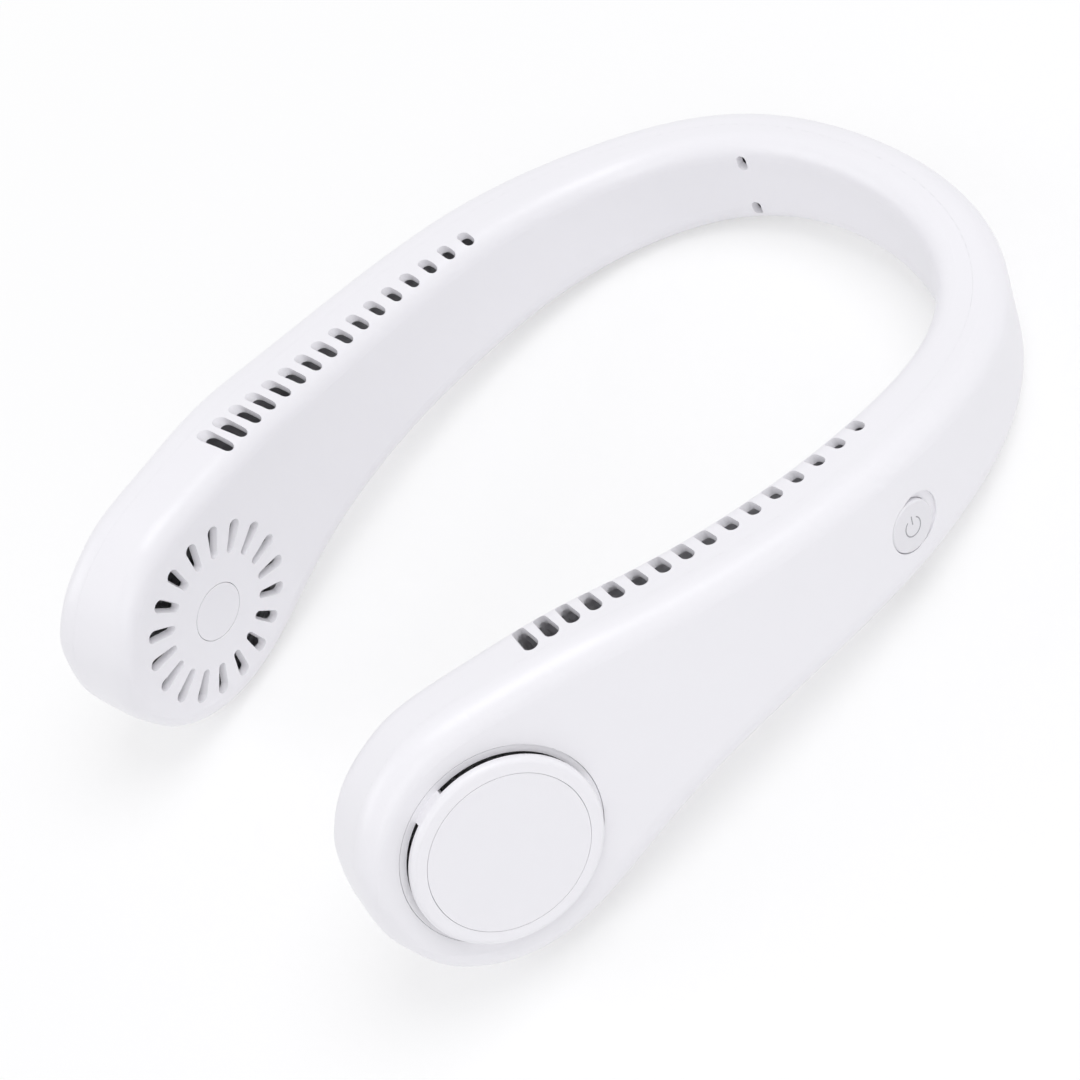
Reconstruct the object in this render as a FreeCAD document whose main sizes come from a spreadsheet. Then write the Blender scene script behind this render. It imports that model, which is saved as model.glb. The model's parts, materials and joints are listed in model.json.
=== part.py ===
import FreeCAD, Part
import math
import os
import Sketcher
from FreeCAD import Placement, Rotation, Vector

doc = FreeCAD.newDocument("neck_fan")
sheet = doc.addObject("Spreadsheet::Sheet", "sizes")

# Driving dimensions, in millimetres and degrees. Places along an arm are lengths of its centreline,
# counted from the head's centre. Rises are heights over the head's centre.
driving_sizes = {
    # plan of the U
    "head_spacing": 114.2,
    "head_to_nape": 183.8,
    "head_toe_in": 11.4,
    "head_handle": 65.9,
    "nape_handle": 100.5,
    # stations along the arm
    "shoulder_place": 34.0,
    "upper_place": 68.0,
    "middle_place": 114.0,
    "bend_place": 171.0,
    "cover_ahead": 1.9,
    "fan_ahead": 1.0,
    "fan_rise": 0.7,
    # casing section, station by station
    "head_height": 64.0,
    "shoulder_height": 51.8,
    "upper_height": 41.2,
    "middle_height": 35.2,
    "bend_height": 28.8,
    "nape_height": 26.4,
    "shoulder_rise": 0.7,
    "upper_rise": -4.0,
    "middle_rise": -11.7,
    "bend_rise": -19.4,
    "nape_rise": -17.2,
    "head_thickness": 24.2,
    "shoulder_thickness": 24.4,
    "upper_thickness": 22.8,
    "middle_thickness": 20.7,
    "bend_thickness": 17.0,
    "nape_thickness": 14.4,
    "outer_draft": 0.0,
    "inner_draft": 9.0,
    "head_lean": 15.2,
    "nape_lean": -7.0,
    "head_top_radius": 5.6,
    "nape_top_radius": 5.4,
    "head_bottom_radius": 8.0,
    "nape_bottom_radius": 6.6,
    "wall": 2.0,
    "parting_offset": 5.6,
    "parting_gap": 0.015,
    "fit_gap": 0.2,
    # outlet slots
    "slot_count": 16,
    "first_slot_place": 27.6,
    "first_slot_pitch": 5.1,
    "last_slot_pitch": 6.6,
    "first_slot_length": 8.6,
    "last_slot_length": 5.0,
    "slot_width": 3.0,
    "first_slot_tilt": -22.0,
    "last_slot_tilt": 8.0,
    "slot_side_flare": 8.0,
    "slot_end_flare": 22.0,
    # intake grille
    "grille_count": 18,
    "grille_inner_radius": 14.6,
    "grille_outer_radius": 23.2,
    "grille_inner_width": 2.2,
    "grille_outer_width": 3.3,
    "grille_flare": 14.0,
    # centre cap
    "cap_radius": 7.3,
    "cap_gap": 0.15,
    "seam_gap": 0.1,
    # intake cover
    "cover_hole_radius": 22.55,
    "cover_ring": 1.5,
    "cover_flange": 1.3,
    "flange_thickness": 1.2,
    "flange_gap": 0.5,
    "disc_radius": 21.25,
    "disc_rise": 3.7,
    "disc_edge_radius": 1.2,
    "disc_floor": 0.7,
    "plate_radius": 17.9,
    "plate_thickness": 1.2,
    "bridge_count": 3,
    "bridge_width": 7.6,
    "bridge_depth": 1.6,
    "bridge_turn": 110.0,
    # motor
    "seat_height": 0.6,
    "mount_radius": 12.6,
    "mount_thickness": 1.5,
    "screw_circle": 10.8,
    "screw_count": 3,
    "screw_head_radius": 1.4,
    "screw_head_height": 0.8,
    "screw_shank_radius": 0.8,
    "screw_depth": 1.8,
    "board_radius": 8.2,
    "board_thickness": 1.0,
    "tube_radius": 3.0,
    "bush_radius": 2.0,
    "bush_length": 6.0,
    "tube_floor": 0.8,
    "shaft_radius": 0.75,
    "shaft_clearance": 0.02,
    "shaft_end_gap": 0.2,
    "stator_radius": 7.2,
    "stator_height": 3.5,
    "stator_hub": 1.5,
    "shoe_thickness": 0.8,
    "shoe_gap": 1.2,
    "tooth_count": 6,
    "tooth_width": 1.6,
    "coil_overhang": 0.7,
    "coil_wire_depth": 0.8,
    "coil_board_gap": 0.3,
    "air_gap": 0.3,
    "magnet_thickness": 0.9,
    "magnet_height": 4.4,
    "yoke_thickness": 0.7,
    "yoke_height": 6.0,
    "yoke_board_gap": 0.6,
    # impeller
    "hub_wall": 1.2,
    "impeller_radius": 24.0,
    "blade_inner_radius": 15.5,
    "blade_sweep": 3.6,
    "blade_thickness": 0.9,
    "blade_count": 24,
    "blade_bottom": 4.6,
    "blade_height": 9.0,
    "web_thickness": 1.0,
    "rim_width": 1.4,
    "rim_thickness": 0.9,
    # power button and its board, measured down from the casing's skin
    "button_place": 107.0,
    "button_rise": -2.0,
    "button_radius": 6.2,
    "button_gap": 0.15,
    "button_proud": 0.3,
    "button_edge": 0.5,
    "recess_radius": 6.5,
    "recess_depth": 1.1,
    "recess_shift": 2.0,
    "recess_rise": 0.4,
    "button_boss": 1.6,
    "button_boss_radius": 8.4,
    "button_flange": 1.3,
    "button_flange_thickness": 1.0,
    "button_flange_gap": 0.05,
    "button_travel": 0.5,
    "stem_radius": 1.6,
    "stem_length": 0.75,
    "plunger_radius": 1.1,
    "plunger_length": 1.6,
    "plunger_gap": 0.08,
    "press_room": 0.1,
    "switch_size": 6.0,
    "switch_height": 2.4,
    "main_board_length": 32.0,
    "main_board_above": 6.0,
    "main_board_below": 12.2,
    "main_board_thickness": 1.2,
    "post_radius": 2.2,
    "post_spacing": 25.0,
    "post_rise": 2.5,
    "post_screw_depth": 3.0,
    # charging socket
    "socket_width": 8.94,
    "socket_height": 3.2,
    "socket_length": 7.3,
    "socket_wall": 0.35,
    "socket_overhang": 2.6,
    "socket_depth": 5.6,
    "tongue_width": 6.7,
    "tongue_thickness": 0.7,
    "tongue_length": 4.5,
    "port_gap": 0.35,
    # cells, pads and dividers inside the arms
    "cell_place": 152.0,
    "cell_length": 36.0,
    "cell_height": 15.0,
    "cell_thickness": 7.5,
    "cell_drop": 1.0,
    "cell_inset": 1.2,
    "cell_edge": 2.0,
    "pad_height": 9.0,
    "pad_length": 30.0,
    "divider_start": 58.0,
    "divider_end": 121.0,
    "divider_rise": 7.4,
    "divider_thickness": 1.4,
    # small vents on the inner side of the neck
    "vent_place": 198.0,
    "vent_width": 2.6,
    "vent_length": 4.4,
    "vent_rise": 7.5,
}


class Size:
    """A number together with the sheet expression that gives it."""

    def __init__(self, value, text):
        self.value = value
        self.text = text

    def __add__(self, other):
        other = as_size(other)
        return Size(self.value + other.value, "(%s + %s)" % (self.text, other.text))

    def __sub__(self, other):
        other = as_size(other)
        return Size(self.value - other.value, "(%s - %s)" % (self.text, other.text))

    def __mul__(self, other):
        other = as_size(other)
        return Size(self.value * other.value, "(%s * %s)" % (self.text, other.text))

    def __truediv__(self, other):
        other = as_size(other)
        return Size(self.value / other.value, "(%s / %s)" % (self.text, other.text))

    def __neg__(self):
        return Size(-self.value, "(0 - %s)" % self.text)


def as_size(number):
    if isinstance(number, Size):
        return number
    return Size(float(number), repr(float(number)))


class Sizes:
    """The driving dimensions, by name."""


dim = Sizes()
for row, (alias, number) in enumerate(driving_sizes.items(), start=1):
    sheet.set("A%d" % row, alias)
    sheet.set("B%d" % row, str(number))
    sheet.setAlias("B%d" % row, alias)
    setattr(dim, alias, Size(float(number), "sizes." + alias))
doc.recompute()
none = as_size(0)


# Helpers for bound primitives and booleans

def bind(obj, name, size):
    obj.setExpression(name, as_size(size).text)


def put(obj, x, y, z):
    bind(obj, "Placement.Base.x", x)
    bind(obj, "Placement.Base.y", y)
    bind(obj, "Placement.Base.z", z)


def cylinder(name, radius, bottom, top, x=none, y=none):
    obj = doc.addObject("Part::Cylinder", name)
    bind(obj, "Radius", radius)
    bind(obj, "Height", top - bottom)
    put(obj, x, y, bottom)
    return obj


def cone(name, low_radius, high_radius, bottom, top):
    obj = doc.addObject("Part::Cone", name)
    bind(obj, "Radius1", low_radius)
    bind(obj, "Radius2", high_radius)
    bind(obj, "Height", top - bottom)
    put(obj, none, none, bottom)
    return obj


def box(name, low, high):
    obj = doc.addObject("Part::Box", name)
    bind(obj, "Length", high[0] - low[0])
    bind(obj, "Width", high[1] - low[1])
    bind(obj, "Height", high[2] - low[2])
    put(obj, low[0], low[1], low[2])
    return obj


def fuse(name, shapes):
    obj = doc.addObject("Part::MultiFuse", name)
    obj.Shapes = shapes
    return obj


def cut(name, base, tools):
    obj = doc.addObject("Part::Cut", name)
    obj.Base = base
    obj.Tool = tools[0] if len(tools) == 1 else fuse(name + "_tools", tools)
    return obj


def common(name, first, second):
    obj = doc.addObject("Part::Common", name)
    obj.Base = first
    obj.Tool = second
    return obj


def tube(name, outer, inner, bottom, top):
    return cut(name, cylinder(name + "_outside", outer, bottom, top),
               [cylinder(name + "_bore", inner, bottom - 1, top + 1)])


def feature(name, shape):
    obj = doc.addObject("Part::Feature", name)
    obj.Shape = shape
    return obj


def rounded(name, base, radius, chosen):
    """Round the edges of an object that the test picks."""
    doc.recompute()
    obj = doc.addObject("Part::Fillet", name)
    obj.Base = base
    obj.Edges = [(index, radius.value, radius.value)
                 for index, edge in enumerate(base.Shape.Edges, start=1) if chosen(edge)]
    return obj


def turned(name, count, make):
    """One copy per step of a full turn about the local Z axis, as a compound."""
    copies = []
    for step in range(int(count.value)):
        copy = make("%s_%d" % (name, step + 1))
        spin = Rotation(Vector(0, 0, 1), 360.0 * step / count.value)
        holder = doc.addObject("Part::Compound", "%s_turn_%d" % (name, step + 1))
        holder.Links = [copy]
        holder.Placement = Placement(Vector(), spin)
        copies.append(holder)
    return copies


pieces = {}


def piece(node, obj, place):
    """Name a finished sub-part and set it in its place."""
    obj.Label = node
    obj.Placement = place
    pieces[node] = obj


# The arm's centreline and its sections

arm_start = Vector(dim.head_spacing.value / 2, 0, 0)
toe = math.radians(dim.head_toe_in.value)
arm_direction = Vector(math.sin(toe), math.cos(toe), 0)
centreline = Part.BezierCurve()
centreline.setPoles([
    arm_start,
    arm_start + arm_direction * dim.head_handle.value,
    Vector(dim.nape_handle.value, dim.head_to_nape.value, 0),
    Vector(0, dim.head_to_nape.value, 0),
])
arm_length = centreline.length()
head_radius = dim.head_height.value / 2
station_places = [0.0, dim.shoulder_place.value, dim.upper_place.value, dim.middle_place.value,
                  dim.bend_place.value, arm_length]
station_names = ["head", "shoulder", "upper", "middle", "bend", "nape"]
half_heights = [getattr(dim, name + "_height").value / 2 for name in station_names]
half_widths = [getattr(dim, name + "_thickness").value / 2 for name in station_names]
rises = [0.0] + [getattr(dim, name + "_rise").value for name in station_names[1:]]
reference = Vector(0, 0, 0)


def along(values, place):
    """Smooth run of a station value along the arm, level at both ends."""
    place = min(max(place, 0.0), arm_length)
    last = len(values) - 1
    slopes = [0.0] * len(values)
    for i in range(1, last):
        before = (values[i] - values[i - 1]) / (station_places[i] - station_places[i - 1])
        after = (values[i + 1] - values[i]) / (station_places[i + 1] - station_places[i])
        if before * after > 0:
            slopes[i] = 2 * before * after / (before + after)
    i = max(k for k in range(last) if station_places[k] <= place)
    span = station_places[i + 1] - station_places[i]
    part = (place - station_places[i]) / span
    return (values[i] * (1 + 2 * part) * (1 - part) ** 2
            + values[i + 1] * part ** 2 * (3 - 2 * part)
            + slopes[i] * span * part * (1 - part) ** 2
            + slopes[i + 1] * span * part ** 2 * (part - 1))


class Section:
    """The casing's cross-section at a place along the right arm, inset from the skin."""

    def __init__(self, place, inset=0.0):
        on_arm = min(max(place, 0.0), arm_length)
        parameter = centreline.parameterAtDistance(on_arm, 0.0) if on_arm > 0 else 0.0
        self.tangent = Vector(centreline.tangent(parameter)[0])
        self.centre = (centreline.value(parameter) + arm_direction * min(place, 0.0)
                       + Vector(0, 0, along(rises, on_arm)) + reference)
        share = on_arm / arm_length
        head_share = 1 - share ** 2 * (3 - 2 * share)
        self.parting = dim.parting_offset.value * head_share
        lean = math.radians(dim.nape_lean.value
                            + (dim.head_lean.value - dim.nape_lean.value) * head_share)
        level = Vector(self.tangent.y, -self.tangent.x, 0)
        self.slope = (along(rises, on_arm + 1) - along(rises, on_arm - 1)) / 2
        self.out = level * math.cos(lean) + Vector(0, 0, math.sin(lean))
        self.up = level * -math.sin(lean) + Vector(0, 0, math.cos(lean))
        self.height = along(half_heights, on_arm) - inset
        self.width = along(half_widths, on_arm) - inset
        self.outer_slope = math.tan(math.radians(dim.outer_draft.value)) * head_share
        self.inner_slope = math.tan(math.radians(dim.inner_draft.value)) * head_share
        self.top_radius = (dim.head_top_radius.value * head_share
                           + dim.nape_top_radius.value * (1 - head_share) - inset)
        self.bottom_radius = (dim.head_bottom_radius.value * head_share
                              + dim.nape_bottom_radius.value * (1 - head_share) - inset)
        if place < 0:
            self.round_off(-place, head_radius - inset)

    def round_off(self, ahead, radius):
        """Draw the section in towards the front of the round head."""
        self.height = math.sqrt(radius ** 2 - ahead ** 2)
        edge = (self.top_radius + self.bottom_radius) / 2
        past = max(0.0, ahead - (radius - edge))
        self.width -= edge - math.sqrt(edge ** 2 - past ** 2)
        self.bottom_radius = min(self.bottom_radius, 0.8 * self.height)
        self.top_radius = min(self.top_radius, 0.8 * self.height)

    def point(self, outward, upward):
        return self.centre + self.out * outward + self.up * upward

    def corners(self):
        """Centre, radius and angles of the four corner arcs, from the outer top one round."""
        corners = []
        quarter = math.pi / 2
        for radius, level in ((self.top_radius, 1), (self.bottom_radius, -1)):
            height = level * (self.height - radius)
            outer = self.width - self.outer_slope * height - radius * math.hypot(1, self.outer_slope)
            inner = self.width - self.inner_slope * height - radius * math.hypot(1, self.inner_slope)
            corners.append((radius, outer, -inner, height))
        top, bottom = corners
        outer_angle = math.atan(self.outer_slope)
        inner_angle = math.pi - math.atan(self.inner_slope)
        return [
            (top[0], (top[1], top[3]), outer_angle, quarter),
            (top[0], (top[2], top[3]), quarter, inner_angle),
            (bottom[0], (bottom[2], bottom[3]), inner_angle, 3 * quarter),
            (bottom[0], (bottom[1], bottom[3]), 3 * quarter, 4 * quarter + outer_angle),
        ]

    def wire(self, side):
        def place(corner, angle):
            radius, middle = corner[0], corner[1]
            spot = self.point(middle[0] + radius * math.cos(angle), middle[1] + radius * math.sin(angle))
            return Vector(side * spot.x, spot.y, spot.z)

        corners = self.corners()
        edges = []
        for corner, following in zip(corners, corners[1:] + corners[:1]):
            start, end = corner[2], corner[3]
            edges.append(Part.Arc(place(corner, start), place(corner, (start + end) / 2),
                                  place(corner, end)).toShape())
            edges.append(Part.LineSegment(place(corner, end), place(following, following[2])).toShape())
        return Part.Wire(edges)

    def placement(self, outward, upward, tilt, side, follow=False):
        """Frame on the section: Z square to a wall tilted back by an angle, Y up that wall.

        A frame that follows the arm is turned about Z until its X axis runs with the arm's rise.
        """
        turn = math.radians(tilt)
        normal = self.out * math.cos(turn) + self.up * math.sin(turn)
        rise = self.up * math.cos(turn) - self.out * math.sin(turn)
        spot = self.point(outward, upward)
        normal, rise, spot = [Vector(side * v.x, v.y, v.z) for v in (normal, rise, spot)]
        frame = Placement(spot, Rotation(rise.cross(normal), rise, normal, "ZYX"))
        if follow:
            climb = side * math.degrees(math.atan(self.slope))
            frame = frame.multiply(Placement(Vector(), Rotation(Vector(0, 0, 1), climb)))
        return frame


nose_angles = [86, 79, 70, 58, 45, 30, 15]
arm_steps = 12


def casing_form(inset):
    """The whole U as one smooth solid, drawn in from the skin by the inset."""
    places = [-(head_radius - inset) * math.sin(math.radians(angle)) for angle in nose_angles]
    places += [arm_length * step / arm_steps for step in range(arm_steps + 1)]
    right = [Section(place, inset).wire(1) for place in places]
    left = [Section(place, inset).wire(-1) for place in places[-2::-1]]
    return Part.makeLoft(right + left, True, False, False)


# The part stands on z = 0 with its origin under the middle of its box.
box_of_form = casing_form(0.0).optimalBoundingBox()
reference = Vector(0, -(box_of_form.YMin + box_of_form.YMax) / 2, -box_of_form.ZMin)

skin = feature("casing_skin", casing_form(0.0))
cavity = feature("casing_cavity", casing_form(dim.wall.value))
filling = feature("casing_filling", casing_form(dim.wall.value + dim.fit_gap.value))
wall_shell = cut("casing_wall", skin, [cavity])


def outside_block(offset):
    """Everything outside of the parting line, which follows the crest, moved out by an offset."""
    reach = 2 * head_radius

    def quad(place, side):
        section = Section(max(place, 0.0))
        near = section.parting + offset
        far = near + reach
        ahead = arm_direction * min(place, 0.0)
        spots = [section.point(x, y) + ahead
                 for x, y in ((near, reach), (far, reach), (far, -reach), (near, -reach))]
        spots = [Vector(side * spot.x, spot.y, spot.z) for spot in spots]
        return Part.makePolygon(spots + spots[:1])

    places = [-reach, -reach / 2] + [arm_length * step / arm_steps for step in range(arm_steps + 1)]
    right = [quad(place, 1) for place in places]
    left = [quad(place, -1) for place in places[-2::-1]]
    return Part.makeLoft(right + left, True, False, False)


outer_half = common("outer_half", wall_shell, feature("outside_block", outside_block(0.0)))
inner_half = cut("inner_half", wall_shell,
                 [feature("outside_block_grown", outside_block(-dim.parting_gap.value))])

# Frames on the two heads and on the right arm
sides = {"left": -1, "right": 1}
cover_section = Section(-dim.cover_ahead.value)
fan_section = Section(-dim.fan_ahead.value)
fan_rise = dim.fan_rise.value
cover_place = {}
fan_place = {}
for name, side in sides.items():
    cover_place[name] = cover_section.placement(
        cover_section.width - cover_section.outer_slope * fan_rise, fan_rise, dim.outer_draft.value, side)
    fan_place[name] = fan_section.placement(
        fan_section.inner_slope * fan_rise - fan_section.width, fan_rise, -dim.inner_draft.value, side)


# Outlet slots, intake grille, cover seats and other openings of the shells

def slot_outline(low, low_radius, high, high_radius, level):
    """Outline of a slot along local Y: round ends about two centres, joined by straight sides."""
    lean = math.asin((high_radius - low_radius) / (high - low))

    def spot(centre, radius, angle):
        return Vector(radius * math.cos(angle), centre + radius * math.sin(angle), level)

    right_low = spot(low, low_radius, -lean)
    right_high = spot(high, high_radius, -lean)
    left_low = spot(low, low_radius, math.pi + lean)
    left_high = spot(high, high_radius, math.pi + lean)
    return Part.Wire([
        Part.LineSegment(right_low, right_high).toShape(),
        Part.Arc(right_high, spot(high, high_radius, math.pi / 2), left_high).toShape(),
        Part.LineSegment(left_high, left_low).toShape(),
        Part.Arc(left_low, spot(low, low_radius, -math.pi / 2), right_low).toShape(),
    ])


def flared_slot(low, low_radius, high, high_radius):
    """A slot through a flat wall at local Z 0 that narrows through the wall and then runs straight."""
    wall = dim.wall.value
    narrowing = math.tan(math.radians(dim.grille_flare.value)) * wall

    def outline(level, grown):
        return slot_outline(low, low_radius + grown, high, high_radius + grown, level)

    mouth = outline(-wall, narrowing)
    inside = outline(wall, -narrowing)
    return Part.makeLoft([mouth, inside, outline(3 * wall, -narrowing)], True, True)


def outlet_slots(side):
    """Slots across the inner top edge of one arm, shorter and further apart towards the neck."""
    count = int(dim.slot_count.value)
    place = dim.first_slot_place.value
    reach = 4 * dim.wall.value
    side_flare = math.tan(math.radians(dim.slot_side_flare.value))
    end_flare = math.tan(math.radians(dim.slot_end_flare.value))
    solids = []
    for index in range(count):
        share = index / (count - 1)
        section = Section(place)
        radius, middle = section.corners()[1][:2]
        tilt = (dim.first_slot_tilt.value
                + (dim.last_slot_tilt.value - dim.first_slot_tilt.value) * share)
        half = (dim.first_slot_length.value
                + (dim.last_slot_length.value - dim.first_slot_length.value) * share) / 2
        lean = math.radians(tilt)
        near_skin = math.sqrt(radius ** 2 - half ** 2)
        far_skin = (radius - half * math.sin(lean)) / math.cos(lean)

        def outline(level, size_level):
            end_radius = dim.slot_width.value / 2 + (size_level - radius) * side_flare
            near = half + (size_level - near_skin) * end_flare
            far = half + (size_level - far_skin) * end_flare
            return slot_outline(end_radius - far, end_radius, near - end_radius, end_radius, level)

        root = radius - 1.5 * dim.wall.value
        mouth = max(radius, far_skin) + dim.wall.value / 2
        solid = Part.makeLoft([outline(root - reach, root), outline(root, root), outline(mouth, mouth)],
                              True, True)
        solid.Placement = section.placement(middle[0], middle[1], 90 + tilt, side)
        solids.append(solid)
        place += (dim.first_slot_pitch.value
                  + (dim.last_slot_pitch.value - dim.first_slot_pitch.value) * index / (count - 2))
    return Part.makeCompound(solids)


def grille_slots():
    """Ring of tapered slots through the inner face of a head, in the fan's frame."""
    low = dim.grille_inner_width.value / 2
    high = dim.grille_outer_width.value / 2
    solid = flared_slot(dim.grille_inner_radius.value + low, low, dim.grille_outer_radius.value - high, high)
    count = int(dim.grille_count.value)
    return Part.makeCompound([solid.rotated(Vector(), Vector(0, 0, 1), 360.0 * (step + 0.5) / count)
                              for step in range(count)])


def vent_slots():
    """Two small oblong holes on the inner side of the neck, one near the crest and one low."""
    solids = []
    radius = dim.vent_width.value / 2
    half_run = dim.vent_length.value / 2 - radius
    section = Section(dim.vent_place.value)
    for level in (1, -1):
        solid = flared_slot(-half_run, radius, half_run, radius)
        solid.Placement = section.placement(-section.width, level * dim.vent_rise.value, 0.0, -1)
        solids.append(solid)
    return Part.makeCompound(solids)


motor_base = dim.wall + dim.seat_height
inner_openings = [feature("vent_slots", vent_slots())]
motor_seats = []
for name, side in sides.items():
    inner_openings.append(feature(name + "_outlet_slots", outlet_slots(side)))
    grille = feature(name + "_grille_slots", grille_slots())
    grille.Placement = fan_place[name]
    inner_openings.append(grille)
    hole = cylinder(name + "_cap_hole", dim.cap_radius + dim.cap_gap, -dim.wall, motor_base + dim.wall)
    hole_holder = doc.addObject("Part::Compound", name + "_cap_hole_place")
    hole_holder.Links = [hole] + turned(name + "_screw_hole", dim.screw_count, lambda label: cylinder(
        label, dim.screw_shank_radius, motor_base - dim.screw_depth, motor_base + dim.wall, dim.screw_circle))
    hole_holder.Placement = fan_place[name]
    inner_openings.append(hole_holder)
    seat = cylinder(name + "_motor_seat", dim.mount_radius, dim.wall / 2, motor_base)
    seat_holder = doc.addObject("Part::Compound", name + "_motor_seat_place")
    seat_holder.Links = [seat]
    seat_holder.Placement = fan_place[name]
    motor_seats.append(seat_holder)

# Frame of the power button on the right arm: Z out of the skin, Y up, X along the arm
button_section = Section(dim.button_place.value)
button_tilt = math.degrees(math.atan(button_section.outer_slope))
button_frame = button_section.placement(
    button_section.width - button_section.outer_slope * dim.button_rise.value,
    dim.button_rise.value, button_tilt, 1, follow=True)
boss_face = -(dim.wall + dim.button_boss)
flange_top = boss_face - dim.button_flange_gap
flange_bottom = flange_top - dim.button_flange_thickness
stem_bottom = flange_bottom - dim.stem_length
switch_top = stem_bottom - dim.button_travel - dim.press_room
board_face = switch_top - dim.switch_height
board_back = board_face - dim.main_board_thickness

outer_openings = []
for name in sides:
    hole = cylinder(name + "_cover_hole", dim.cover_hole_radius, -(dim.wall * 3), dim.wall * 2)
    holder = doc.addObject("Part::Compound", name + "_cover_hole_place")
    holder.Links = [hole]
    holder.Placement = cover_place[name]
    outer_openings.append(holder)

button_boss = cylinder("button_boss", dim.button_boss_radius, boss_face, none)
posts = []
post_holes = []
for number, end in ((1, -1), (2, 1)):
    across = dim.post_spacing * (end / 2)
    posts.append(cylinder("board_post_%d" % number, dim.post_radius, board_face, none, across, dim.post_rise))
    post_holes.append(cylinder("board_post_hole_%d" % number, dim.screw_shank_radius, board_face - dim.wall,
                               board_face + dim.post_screw_depth, across, dim.post_rise))
bosses = doc.addObject("Part::Compound", "outer_bosses_place")
bosses.Links = [fuse("outer_bosses", [button_boss] + posts)]
bosses.Placement = button_frame
bosses_inside = common("outer_bosses_inside", skin, bosses)

socket_top = board_face + dim.socket_height
socket_mouth = -(dim.main_board_below + dim.socket_overhang)
port_low = socket_mouth - dim.socket_depth * 2
port_half = dim.socket_width / 2 + dim.port_gap
port = box("charging_port_hole", (-port_half, port_low, board_face - dim.port_gap),
           (port_half, socket_mouth + dim.wall * 3, socket_top + dim.port_gap))
port_round = rounded("charging_port_round", port, dim.socket_height / 2,
                     lambda edge: abs(edge.Vertexes[0].Point.y - edge.Vertexes[1].Point.y) > dim.wall.value)
button_hole = cylinder("button_hole", dim.button_radius + dim.button_gap, boss_face - dim.wall, dim.wall)
recess = cylinder("button_recess", dim.recess_radius, -dim.recess_depth, dim.wall * 2,
                  dim.recess_shift, dim.recess_rise)
port_cut = doc.addObject("Part::Compound", "port_cut_place")
port_cut.Links = [port_round]
port_cut.Placement = button_frame
inner_openings.append(port_cut)
button_cuts = doc.addObject("Part::Compound", "button_cuts_place")
button_cuts.Links = [button_hole, recess] + post_holes
button_cuts.Placement = button_frame
outer_openings.extend([button_cuts, port_cut])

inner_blank = fuse("inner_blank", [inner_half] + motor_seats)
inner_shell = cut("inner_shell", inner_blank, inner_openings)
piece("inner_shell", inner_shell, Placement())

outer_blank = fuse("outer_blank", [outer_half, bosses_inside])
outer_shell = cut("outer_shell", outer_blank, outer_openings)
piece("outer_shell", outer_shell, Placement())


# Intake cover and the plate let into it, in the cover's frame

def intake_cover(side):
    """A ring flush with the skin and a disc that floats over its bore on three bridges."""
    ring_radius = dim.cover_hole_radius - dim.seam_gap
    bore_radius = ring_radius - dim.cover_ring
    flange_face = -(dim.wall + dim.flange_gap)
    ring_bottom = flange_face - dim.flange_thickness
    ring = fuse(side + "_cover_ring_blank", [
        cylinder(side + "_cover_ring_outside", ring_radius, ring_bottom, none),
        cylinder(side + "_cover_flange", ring_radius + dim.cover_flange, ring_bottom, flange_face),
    ])
    ring = cut(side + "_cover_ring", ring, [
        cylinder(side + "_cover_ring_bore", bore_radius, ring_bottom - 1, none + 1)])
    pocket_floor = dim.disc_rise - dim.plate_thickness
    disc_bottom = pocket_floor - dim.disc_floor
    disc = cylinder(side + "_cover_disc_blank", dim.disc_radius, disc_bottom, dim.disc_rise)
    disc = rounded(side + "_cover_disc_round", disc, dim.disc_edge_radius,
                   lambda edge: len(edge.Vertexes) == 1 and edge.CenterOfMass.z > pocket_floor.value)
    disc = cut(side + "_cover_disc", disc, [
        cylinder(side + "_cover_pocket", dim.plate_radius + dim.seam_gap, pocket_floor, dim.disc_rise + 1)])
    bridge_top = disc_bottom + dim.disc_floor / 2

    def bridge(name):
        band = tube(name + "_band", dim.disc_radius - dim.seam_gap, bore_radius - dim.bridge_depth,
                    ring_bottom, bridge_top)
        sector = box(name + "_sector", (none, -dim.bridge_width / 2, ring_bottom),
                     (dim.cover_hole_radius, dim.bridge_width / 2, bridge_top))
        return common(name, band, sector)

    bridges = turned(side + "_cover_bridge", dim.bridge_count, bridge)
    return fuse(side + "_intake_cover", [ring, disc] + bridges)


for name, side in sides.items():
    spin = Placement(Vector(), Rotation(Vector(0, 0, 1), side * dim.bridge_turn.value))
    piece(name + "_intake_cover", intake_cover(name), cover_place[name].multiply(spin))
    plate = cylinder(name + "_cover_plate", dim.plate_radius, dim.disc_rise - dim.plate_thickness,
                     dim.disc_rise)
    holder = doc.addObject("Part::Compound", name + "_cover_plate_place")
    holder.Links = [plate]
    piece(name + "_cover_plate", holder, cover_place[name])


# Motor, from the seat inwards, in the fan's frame

mount_top = motor_base + dim.mount_thickness
motor_board_top = mount_top + dim.board_thickness
coil_bottom = motor_board_top + dim.coil_board_gap
stator_bottom = coil_bottom + dim.coil_overhang
stator_top = stator_bottom + dim.stator_height
coil_top = stator_top + dim.coil_overhang
bush_bottom = motor_base + dim.tube_floor
bush_top = bush_bottom + dim.bush_length
yoke_bottom = motor_board_top + dim.yoke_board_gap
yoke_top = yoke_bottom + dim.yoke_height
magnet_outer = dim.stator_radius + dim.air_gap + dim.magnet_thickness
yoke_outer = magnet_outer + dim.yoke_thickness
hub_radius = yoke_outer + dim.hub_wall
hub_top = yoke_top + dim.hub_wall


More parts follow.
